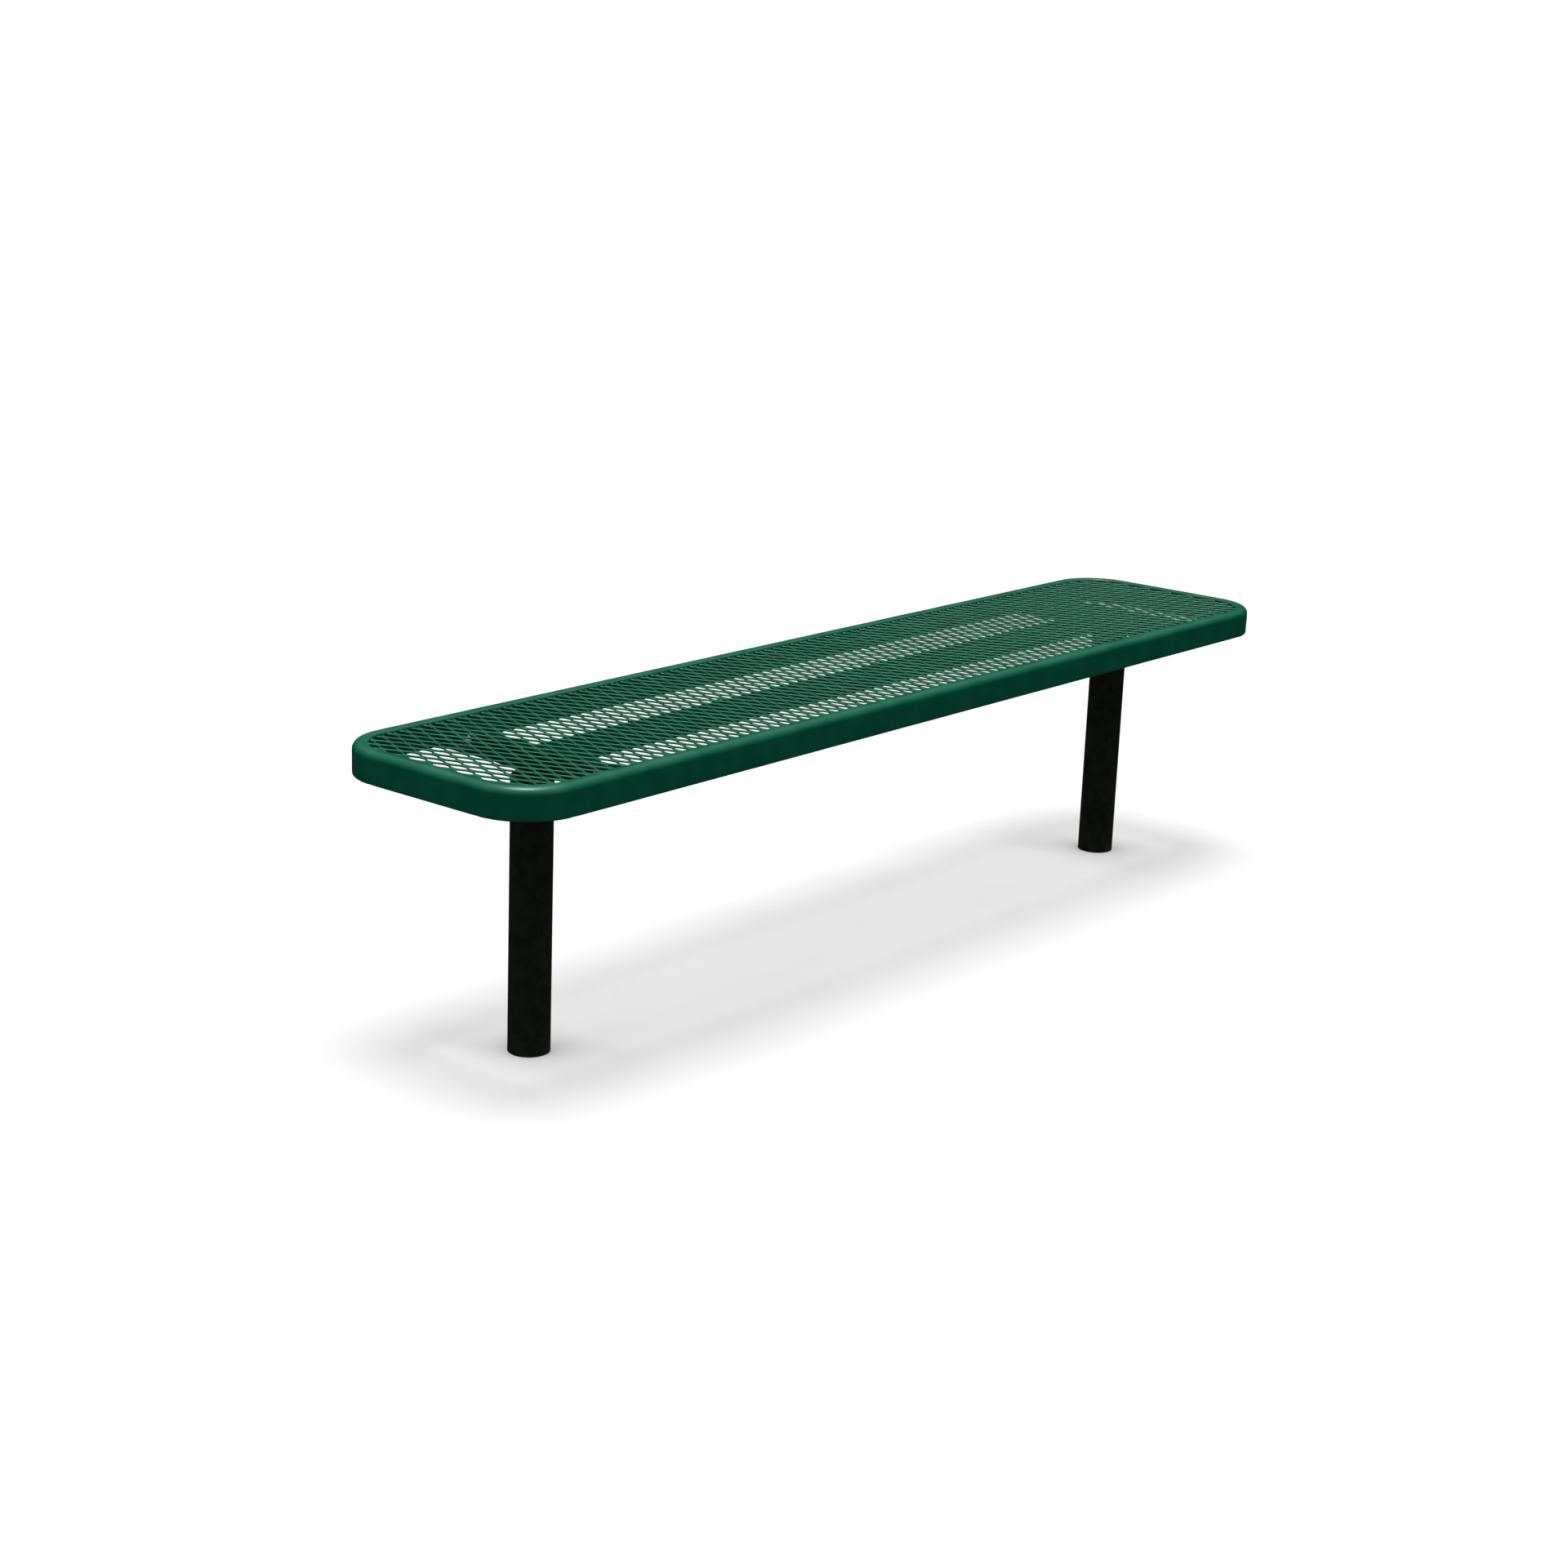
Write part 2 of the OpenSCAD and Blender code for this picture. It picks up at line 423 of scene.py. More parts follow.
def settled_dust_group() -> bpy.types.NodeTree:
    """Thin dust that settles on upward faces, thicker in patches.

    Returns:
        The group, with the output Dust.
    """
    tree, graph, given, made = shader_group(
        "settled_dust", {"Amount": 0.3, "Patch Scale": 12.0, "Speck Scale": 900.0}, ("Dust",)
    )
    place = graph.add("ShaderNodeTexCoord").outputs["Object"]
    normal = graph.add("ShaderNodeSeparateXYZ")
    graph.wire(graph.add("ShaderNodeNewGeometry").outputs["Normal"], normal.inputs[0])
    upward = graph.span(normal.outputs["Z"], 0.35, 1.0)
    patch = graph.span(graph.grain(place, given.outputs["Patch Scale"], 4.0, 0.6), 0.35, 0.7)
    speck = graph.span(graph.grain(place, given.outputs["Speck Scale"], 1.0, 0.5), 0.45, 0.7, 0.55, 1.0)
    amount = graph.maths("MULTIPLY", graph.maths("MULTIPLY", patch, speck), upward)
    graph.wire(graph.maths("MULTIPLY", amount, given.outputs["Amount"]), made.inputs["Dust"])
    return tree


def edge_wear_group() -> bpy.types.NodeTree:
    """Rubbed edges: strong on convex corners, broken up by noise.

    Returns:
        The group, with the output Wear.
    """
    tree, graph, given, made = shader_group(
        "edge_wear", {"Amount": 0.5, "Sharpness": 0.06, "Break Scale": 90.0}, ("Wear",)
    )
    place = graph.add("ShaderNodeTexCoord").outputs["Object"]
    pointed = graph.add("ShaderNodeNewGeometry").outputs["Pointiness"]
    over = graph.maths("SUBTRACT", pointed, 0.5)
    edge = graph.maths("DIVIDE", over, given.outputs["Sharpness"])
    edge.node.use_clamp = True
    broken = graph.span(graph.grain(place, given.outputs["Break Scale"], 5.0, 0.65), 0.42, 0.62)
    worn = graph.maths("MULTIPLY", edge, broken)
    graph.wire(graph.maths("MULTIPLY", worn, given.outputs["Amount"]), made.inputs["Wear"])
    return tree


@dataclass(frozen=True)
class Workshop:
    """The shader groups that the finishes share."""

    relief: bpy.types.NodeTree
    dust: bpy.types.NodeTree
    wear: bpy.types.NodeTree

    def place(self, graph: NodeGraph, tree: bpy.types.NodeTree, **values: float) -> bpy.types.Node:
        """Puts a group in a material with its own values.

        Args:
            graph: The material's graph.
            tree: The group.
            **values: Input values, with underscores for spaces.

        Returns:
            The group node.
        """
        node = graph.add("ShaderNodeGroup", node_tree=tree)
        for key, value in values.items():
            node.inputs[key.replace("_", " ").title()].default_value = value
        return node


def new_material(name: str) -> tuple[bpy.types.Material, NodeGraph, bpy.types.Node]:
    """Starts a material.

    Args:
        name: Name of the material.

    Returns:
        The material, its graph and its Principled shader.
    """
    material = bpy.data.materials.new(name)
    material.use_nodes = True
    graph = NodeGraph(material.node_tree)
    return material, graph, material.node_tree.nodes["Principled BSDF"]


def dress_bump(graph: NodeGraph, shader: bpy.types.Node, height: bpy.types.NodeSocket, depth: float) -> None:
    """Feeds a height into the shader's normal.

    Args:
        graph: The material's graph.
        shader: Its Principled shader.
        height: Height from 0 to 1.
        depth: Depth of the relief in metres.
    """
    bump = graph.add("ShaderNodeBump")
    bump.inputs["Strength"].default_value = 1.0
    bump.inputs["Distance"].default_value = depth
    graph.wire(height, bump.inputs["Height"])
    graph.wire(bump.outputs["Normal"], shader.inputs["Normal"])


@dataclass(frozen=True)
class Plastisol:
    """Thick green vinyl that the seat was dipped in."""

    name: str
    slot: str = "seat_plastisol"
    deep: tuple[float, float, float, float] = (0.0006, 0.108, 0.058, 1.0)
    bright: tuple[float, float, float, float] = (0.0012, 0.128, 0.070, 1.0)
    dusty: tuple[float, float, float, float] = (0.16, 0.20, 0.18, 1.0)
    roughness: float = 0.33
    peel_depth: float = 0.10 * MM
    dust: float = 0.02

    def mix(self, shop: Workshop) -> bpy.types.Material:
        """Builds the material.

        Args:
            shop: The shared shader groups.

        Returns:
            The material.
        """
        material, graph, shader = new_material(self.name)
        relief = shop.place(
            graph, shop.relief, peel_scale=330.0, peel_share=0.35, flow_scale=26.0, flow_share=0.65
        )
        dust = shop.place(graph, shop.dust, amount=self.dust, patch_scale=9.0, speck_scale=700.0)
        wear = shop.place(graph, shop.wear, amount=0.35, sharpness=0.10, break_scale=45.0)
        green = graph.blend(relief.outputs["Flow"], self.deep, self.bright)
        rubbed = graph.blend(wear.outputs["Wear"], green, self.bright)
        graph.wire(graph.blend(dust.outputs["Dust"], rubbed, self.dusty), shader.inputs["Base Color"])
        satin = graph.span(relief.outputs["Flow"], 0.0, 1.0, self.roughness - 0.05, self.roughness + 0.05)
        graph.wire(graph.maths("ADD", satin, dust.outputs["Dust"]), shader.inputs["Roughness"])
        shader.inputs["IOR"].default_value = 1.48
        dress_bump(graph, shader, relief.outputs["Relief"], self.peel_depth)
        return material


@dataclass(frozen=True)
class PowderCoat:
    """Satin black powder coat of the legs, with a fine pebbled texture."""

    name: str
    slot: str = "leg_powder_coat"
    black: tuple[float, float, float, float] = (0.0070, 0.0092, 0.0056, 1.0)
    faded: tuple[float, float, float, float] = (0.0128, 0.0160, 0.0098, 1.0)
    dusty: tuple[float, float, float, float] = (0.10, 0.095, 0.085, 1.0)
    bare: tuple[float, float, float, float] = (0.05, 0.05, 0.048, 1.0)
    roughness: float = 0.46
    peel_depth: float = 0.08 * MM

    def mix(self, shop: Workshop) -> bpy.types.Material:
        """Builds the material.

        Args:
            shop: The shared shader groups.

        Returns:
            The material.
        """
        material, graph, shader = new_material(self.name)
        relief = shop.place(
            graph, shop.relief, peel_scale=900.0, peel_share=0.8, flow_scale=60.0, flow_share=0.2
        )
        dust = shop.place(graph, shop.dust, amount=0.15, patch_scale=15.0, speck_scale=900.0)
        wear = shop.place(graph, shop.wear, amount=0.5, sharpness=0.08, break_scale=120.0)
        black = graph.blend(relief.outputs["Flow"], self.black, self.faded)
        rubbed = graph.blend(wear.outputs["Wear"], black, self.bare)
        graph.wire(graph.blend(dust.outputs["Dust"], rubbed, self.dusty), shader.inputs["Base Color"])
        satin = graph.span(relief.outputs["Flow"], 0.0, 1.0, self.roughness - 0.06, self.roughness + 0.08)
        graph.wire(satin, shader.inputs["Roughness"])
        dress_bump(graph, shader, relief.outputs["Relief"], self.peel_depth)
        return material


@dataclass(frozen=True)
class ZincPlate:
    """Dull zinc plating of the bolts, washers and nuts."""

    name: str
    slot: str = "zinc_hardware"
    bright: tuple[float, float, float, float] = (0.62, 0.63, 0.64, 1.0)
    dull: tuple[float, float, float, float] = (0.40, 0.41, 0.43, 1.0)
    roughness: float = 0.38
    peel_depth: float = 0.02 * MM

    def mix(self, shop: Workshop) -> bpy.types.Material:
        """Builds the material.

        Args:
            shop: The shared shader groups.

        Returns:
            The material.
        """
        material, graph, shader = new_material(self.name)
        relief = shop.place(
            graph, shop.relief, peel_scale=1600.0, peel_share=0.7, flow_scale=260.0, flow_share=0.3
        )
        wear = shop.place(graph, shop.wear, amount=0.7, sharpness=0.06, break_scale=300.0)
        plated = graph.blend(relief.outputs["Flow"], self.dull, self.bright)
        graph.wire(graph.blend(wear.outputs["Wear"], plated, self.bright), shader.inputs["Base Color"])
        shader.inputs["Metallic"].default_value = 1.0
        satin = graph.span(relief.outputs["Flow"], 0.0, 1.0, self.roughness + 0.12, self.roughness)
        graph.wire(satin, shader.inputs["Roughness"])
        dress_bump(graph, shader, relief.outputs["Relief"], self.peel_depth)
        return material


@dataclass(frozen=True)
class Finishes:
    """The three finishes of the bench, ready to use."""

    green: bpy.types.Material
    black: bpy.types.Material
    zinc: bpy.types.Material
    slots: dict[str, str]

    @classmethod
    def mixed(cls) -> "Finishes":
        """Builds the shader groups and every finish."""
        shop = Workshop(coat_relief_group(), settled_dust_group(), edge_wear_group())
        coats = (Plastisol("green_plastisol"), PowderCoat("black_powder_coat"), ZincPlate("zinc_plate"))
        made = [coat.mix(shop) for coat in coats]
        slots = {material.name: coat.slot for material, coat in zip(made, coats)}
        return cls(*made, slots)

    def dress(self, piece: bpy.types.Object, material: bpy.types.Material, *nodes: str) -> None:
        """Gives a piece its finish and its place in the frame.

        Args:
            piece: The piece.
            material: Its material.
            *nodes: Frame nodes that it stands for, if any.
        """
        piece.data.materials.append(material)
        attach(piece, BODY)
        if nodes:
            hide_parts(*nodes)
        log.info("%s: %d faces, stands for %s", piece.name, len(piece.data.polygons), nodes or "no node")


# ---------------------------------------------------------------------------------------------
# Shared shapes
# ---------------------------------------------------------------------------------------------


@dataclass(frozen=True)
class WeldBead:
    """A straight run of weld with its overlapping ripples."""

    radius: float = 2.6 * MM
    step: float = 2.4 * MM
    sides: int = 10

    def lay(self, draft: Draft, start: Vector, stop: Vector) -> None:
        """Adds the bead to a draft.

        Args:
            draft: Draft to add to.
            start: One end of the bead's centreline.
            stop: The other end.
        """
        along = stop - start
        length = along.length
        along.normalize()
        across = along.orthogonal().normalized()
        other = along.cross(across)
        count = max(6, int(length / (self.step / 4)))
        rings = []
        for i in range(count + 1):
            at = start + along * (length * i / count)
            phase = (length * i / count / self.step) % 1.0
            end = min(i, count - i) / 3
            # Each ripple swells along its step, and the bead tapers at both ends.
            size = self.radius * (0.92 + 0.13 * phase) * (0.35 + 0.65 * min(1.0, end))
            size *= 0.92 + 0.16 * ripple(at, 5 * MM)
            rings.append(
                draft.ring(
                    at + (across * math.cos(a) + other * math.sin(a)) * size
                    for a in (2 * math.pi * k / self.sides for k in range(self.sides))
                )
            )
        draft.loft(rings)


@dataclass(frozen=True)
class CutPlate:
    """Flat bar or plate with eased edges and round holes, drawn in its own plane."""

    outline: tuple[Point2, ...]
    holes: tuple[tuple[float, float, float], ...]
    thickness: float
    ease: float
    hole_sides: int = 36

    def layers(self) -> list[tuple[float, float]]:
        """How far the edge is drawn in, and at what height, from the top face to the bottom one."""
        half, ease = self.thickness / 2, self.ease
        turns = (0.0, 0.55, 1.05, math.pi / 2)
        quarter = [(ease * (1 - math.sin(a)), half - ease * (1 - math.cos(a))) for a in turns]
        return quarter + [(depth, -height) for depth, height in reversed(quarter)]

    def loop(self, hole: tuple[float, float, float], depth: float) -> list[Point2]:
        """A hole's edge, widened by depth, clockwise."""
        x, y, radius = hole
        return arc((x, y), radius + depth, 360, 360 / self.hole_sides, self.hole_sides - 1)

    def add(self, draft: Draft, stand: Matrix) -> None:
        """Adds the plate to a draft.

        Args:
            draft: Draft to add to.
            stand: Takes the plate's own plane to its place.
        """
        start = len(draft.points)
        walls: list[list[list[int]]] = []
        for depth, height in self.layers():
            loops = [inset(self.outline, depth), *(self.loop(h, depth) for h in self.holes)]
            walls.append([draft.ring(Vector((x, y, height)) for x, y in loop) for loop in loops])
        for upper, lower in zip(walls, walls[1:]):
            for first, second in zip(upper, lower):
                draft.bridge(first, second)
        for layer in (walls[0], walls[-1]):
            flat = [[draft.points[i].xy.to_3d() for i in loop] for loop in layer]
            numbers = [i for loop in layer for i in loop]
            for corners in tessellate_polygon(flat):
                draft.face(*(numbers[i] for i in corners))
        draft.moved(stand, start)


# ---------------------------------------------------------------------------------------------
# Seat
# ---------------------------------------------------------------------------------------------


@dataclass(frozen=True)
class Rim:
    """Rolled edge of the seat: four straight rails and four corners that meet in one line."""

    length: float
    width: float
    top: float
    corner: float
    depth: float
    flange: float
    thickness: float
    roll: float = 11 * MM
    lip_drop: float = 0.7 * MM
    waviness: float = 0.35 * MM
    broad_wave: float = 90 * MM
    fine_wave: float = 24 * MM
    seam_sink: float = 0.25 * MM
    seam_width: float = 4 * MM
    step: float = 12 * MM
    corner_steps: int = 28

    @classmethod
    def from_frame(cls) -> "Rim":
        """Reads the sizes from the frame's boxes."""
        low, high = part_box("front_left_corner")
        return cls(
            length=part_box("right_rail")[1].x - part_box("left_rail")[0].x,
            width=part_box("back_rail")[1].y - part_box("front_rail")[0].y,
            top=high.z,
            corner=high.x - low.x,
            depth=high.z - low.z,
            flange=extent("front_rail").y,
            thickness=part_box("left_cross_bar")[0].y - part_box("front_rail")[0].y,
        )

    def section(self) -> list[Point2]:
        """The section as distance in from the outer face and height from the top, all the way round."""
        t, h, r, w = self.thickness, self.depth, self.roll, self.flange
        bead = (t / 2, -h + t / 2)
        lip = (t - self.lip_drop) / 2
        out = arc(bead, t / 2, 270, 180, 6)
        out += line((0, bead[1]), (0, -r), 7)
        out += arc((r, -r), r, 180, 90, 14)
        out += line((r, 0), (w - lip, -self.lip_drop), 3)
        out += arc((w - lip, -self.lip_drop - lip), lip, 90, -90, 10)
        out += line((w - lip, -t), (r, -t), 3)
        out += arc((r, -r), r - t, 90, 180, 5)
        out += line((t, -r), (t, bead[1]), 6)
        out += arc(bead, t / 2, 360, 270, 6)[:-1]
        return out

    def run(self, name: str) -> list[tuple[Vector, Vector]]:
        """Stations of a rail or corner: a point on the outer face and the way inwards.

        Args:
            name: The frame node's name.

        Returns:
            The stations, anticlockwise seen from above.
        """
        x, y, r = self.length / 2, self.width / 2, self.corner
        if name.endswith("_corner"):
            sx = 1 if "right" in name else -1
            sy = 1 if "back" in name else -1
            start = {(1, -1): -90, (1, 1): 0, (-1, 1): 90, (-1, -1): 180}[(sx, sy)]
            middle = Vector((sx * (x - r), sy * (y - r), 0))
            angles = [math.radians(start + 90 * i / self.corner_steps) for i in range(self.corner_steps + 1)]
            outs = [Vector((math.cos(a), math.sin(a), 0)) for a in angles]
            return [(middle + out * r, -out) for out in outs]
        ends = {
            "front_rail": ((r - x, -y), (x - r, -y), (0, 1)),
            "right_rail": ((x, r - y), (x, y - r), (-1, 0)),
            "back_rail": ((x - r, y), (r - x, y), (0, -1)),
            "left_rail": ((-x, y - r), (-x, r - y), (1, 0)),
        }[name]
        a, b, inward = (Vector((*pair, 0)) for pair in ends)
        count = max(2, round((b - a).length / self.step))
        return [(a.lerp(b, i / count), inward) for i in range(count + 1)]

    def seam(self, place: Vector) -> float:
        """How strongly a ground weld shows: 1 on a joint between rail and corner, 0 away from it."""
        x, y = self.length / 2 - self.corner, self.width / 2 - self.corner
        along_x = abs(abs(place.x) - x) if abs(place.y) > y else 1.0
        along_y = abs(abs(place.y) - y) if abs(place.x) > x else 1.0
        return math.exp(-((min(along_x, along_y) / self.seam_width) ** 2))

    def build(self, name: str) -> bpy.types.Object:
        """Builds one rail or corner.

        Args:
            name: The frame node that it stands for.

        Returns:
            The piece.
        """
        draft = Draft()
        section = self.section()
        count = len(section)
        tilts = []
        for i in range(count):
            turn = Vector(section[(i + 1) % count]) - Vector(section[i - 1])
            tilts.append(Vector((-turn.y, turn.x)).normalized())
        rings = []
        for outer, inward in self.run(name):
            row = []
            for (across, up), tilt in zip(section, tilts):
                place = outer + inward * across + Vector((0, 0, self.top + up))
                waves = 0.7 * ripple(place, self.broad_wave) + 0.3 * ripple(place, self.fine_wave)
                sink = self.waviness * waves + self.seam_sink * self.seam(place)
                row.append(place - (inward * tilt.x + Vector((0, 0, tilt.y))) * sink)
            rings.append(draft.ring(row))
        draft.loft(rings)
        return draft.build(f"{name}_skin")

    def dress(self, finishes: Finishes) -> None:
        """Builds and finishes all eight pieces."""
        for name in (
            "front_rail", "front_right_corner", "right_rail", "back_right_corner",
            "back_rail", "back_left_corner", "left_rail", "front_left_corner",
        ):
            finishes.dress(self.build(name), finishes.green, name)


@dataclass(frozen=True)
class ExpandedMetal:
    """Raised expanded metal as it is made: zigzag ribbons that lean and meet two by two at the bonds."""

    middle_z: float
    rim: Rim
    short_pitch: float = 22 * MM
    long_pitch: float = 45 * MM
    ribbon: float = 3.2 * MM
    sheet: float = 2.3 * MM
    lean: float = 12.0
    grain: Grain = Grain.RISES_TO_RIGHT
    bond_half: float = 3.4 * MM
    bend: float = 3.6 * MM
    chamfer: float = 0.55 * MM
    rim_swell: float = 0.30
    broad_sag: float = 0.5 * MM
    fine_sag: float = 0.25 * MM
    reach: float = 17 * MM

    @classmethod
    def from_frame(cls, rim: Rim) -> "ExpandedMetal":
        """Reads the panel's height from the frame."""
        return cls(middle_z=centre("mesh_panel").z, rim=rim)

    def inside(self, x: float, y: float) -> float:
        """Distance from a place to the outline where the ribbons are cut off, positive inside."""
        r = self.rim.corner - self.reach
        dx = abs(x) - (self.rim.length / 2 - self.rim.corner)
        dy = abs(y) - (self.rim.width / 2 - self.rim.corner)
        return r - math.hypot(max(dx, 0.0), max(dy, 0.0)) - min(max(dx, dy), 0.0)

    def bonded_right(self, strip: int, row: int) -> bool:
        """Whether a ribbon meets its right-hand neighbour at this row of bonds."""
        return (strip + 1 + row) % 2 == 1

    def seat_at_bond(self, strip: int, row: int) -> tuple[float, float]:
        """Place along the seat and height of a ribbon's middle at a row of bonds.

        Args:
            strip: Number of the ribbon.
            row: Number of the row of bonds.

        Returns:
            Its x and its height above the panel's middle.
        """
        lean = math.radians(self.lean)
        sideways = self.ribbon / 2 * math.cos(lean)
        rise = self.ribbon / 2 * math.sin(lean) * self.grain.value
        if self.bonded_right(strip, row):
            return (strip + 1) * self.short_pitch / 2 - sideways, -rise
        return strip * self.short_pitch / 2 + sideways, rise

    def outline(self, x: float, y: float, z: float, wide: float) -> list[Vector]:
        """The eight points of a ribbon's section across the seat's width.

        Args:
            x: Place of its middle along the seat.
            y: Place across the seat.
            z: Height of its middle above the panel's middle.
            wide: Scale of its width.

        Returns:
            The points, from the lower right corner, anticlockwise.
        """
        near_rim = max(0.0, self.inside(x, y) - (self.rim.flange - self.reach))
        swell = 1 + self.rim_swell * math.exp(-near_rim / (2 * MM))
        place = Vector((x, y, 0.0))
        swell *= 0.97 + 0.08 * ripple(place, 14 * MM)
        a, b, c = self.ribbon / 2 * wide, self.sheet / 2 * swell, self.chamfer
        lean = math.radians(self.lean) * self.grain.value
        sag = self.broad_sag * (ripple(place, 160 * MM) - 0.5)
        sag += self.fine_sag * (ripple(place, 31 * MM) - 0.5)
        half_section = ((a, c - b), (a, b - c), (a - c, b), (c - a, b))
        flat = (*half_section, *((-u, -v) for u, v in half_section))
        cos, sin = math.cos(lean), math.sin(lean)
        return [
            Vector((x + u * cos - v * sin, y, self.middle_z + z + sag + u * sin + v * cos)) for u, v in flat
        ]

    def build(self) -> bpy.types.Object:
        """Builds the panel as one closed skin.

        Returns:
            The piece.
        """
        draft = Draft()
        last_strip = math.ceil(self.rim.length / self.short_pitch)
        last_row = math.ceil(self.rim.width / self.long_pitch)
        half = self.long_pitch / 2
        strips, rows = range(-last_strip, last_strip), range(-last_row, last_row + 1)
        bonds = {
            (k, j)
            for k in strips
            for j in rows
            if self.bonded_right(k, j) and self.inside((k + 1) * self.short_pitch / 2, j * half) > 0
        }
        crotches: dict[tuple[int, int, int], list[int]] = {}
        for k, j in bonds:
            (xl, zl), (xr, zr) = self.seat_at_bond(k, j), self.seat_at_bond(k + 1, j)
            left_rings, right_rings = [], []
            for turn in (-1, 0, 1):
                y = j * half + turn * self.bond_half
                left = draft.ring(self.outline(xl, y, zl, 1.0))
                ends = self.outline(xr, y, zr, 1.0)
                shared = {4: left[1], 5: left[0]}
                right = [shared[p] if p in shared else draft.point(ends[p]) for p in range(8)]
                left_rings.append(left)
                right_rings.append(right)
                if turn:
                    crotches[(k, j, turn)] = left
                    crotches[(k + 1, j, turn)] = right
                    draft.face(left[2], left[1], right[3])
                    draft.face(left[7], left[0], right[6])
            pairs = list(zip(left_rings, right_rings))
            for (la, ra), (lb, rb) in zip(pairs, pairs[1:]):
                for p in range(2, 7):
                    draft.face(la[p], la[p + 1], lb[p + 1], lb[p])
                for p in (6, 7, 0, 1, 2):
                    q = (p + 1) % 8
                    draft.face(ra[p], ra[q], rb[q], rb[p])
                draft.face(la[2], ra[3], rb[3], lb[2])
                draft.face(la[7], ra[6], rb[6], lb[7])
        for k in strips:
            for j in rows[:-1]:
                self.add_strand(draft, crotches, k, j)
        used = sorted({i for face in draft.faces for i in face})
        renumber = {old: new for new, old in enumerate(used)}
        draft.points = [draft.points[i] for i in used]
        draft.faces = [tuple(renumber[i] for i in face) for face in draft.faces]
        return draft.build("expanded_metal", smooth_below=65.0)

    def add_strand(
        self, draft: Draft, crotches: dict[tuple[int, int, int], list[int]], strip: int, row: int
    ) -> None:
        """Adds one strand between two rows of bonds, cut off where it leaves the panel.

        Args:
            draft: Draft to add to.
            crotches: Sections where the ribbons part, by ribbon, row and side.
            strip: Number of the ribbon.
            row: Number of the row of bonds that the strand starts from.
        """
        half = self.long_pitch / 2
        (x0, z0), (x1, z1) = self.seat_at_bond(strip, row), self.seat_at_bond(strip, row + 1)
        y0, y1 = row * half + self.bond_half, (row + 1) * half - self.bond_half
        early, late, wide = 0.13, 0.87, 1.04
        stations = [
            (x0, y0, z0, 1.0),
            (x0 + (x1 - x0) * early, y0 + self.bend, z0 + (z1 - z0) * early, wide),
            (x0 + (x1 - x0) * late, y1 - self.bend, z0 + (z1 - z0) * late, wide),
            (x1, y1, z1, 1.0),
        ]
        kept = [
            self.inside((a[0] + b[0]) / 2, (a[1] + b[1]) / 2) > 0 for a, b in zip(stations, stations[1:])
        ]
        ends = {0: crotches.get((strip, row, 1)), 3: crotches.get((strip, row + 1, -1))}
        rings: list[list[int] | None] = [None] * 4
        for i in range(4):
            if (i > 0 and kept[i - 1]) or (i < 3 and kept[i]):
                rings[i] = ends.get(i)
                if rings[i] is None:
                    rings[i] = draft.ring(self.outline(*stations[i]))
        for i in range(3):
            if kept[i]:
                draft.bridge(rings[i], rings[i + 1])
        before = [ends[0] is not None, *kept]
        after = [*kept, ends[3] is not None]
        for i in range(4):
            if before[i] != after[i]:
                draft.face(*(rings[i] or ends[i]))

    def dress(self, finishes: Finishes) -> None:
        """Builds and finishes the panel."""
        finishes.dress(self.build(), finishes.green, "mesh_panel")


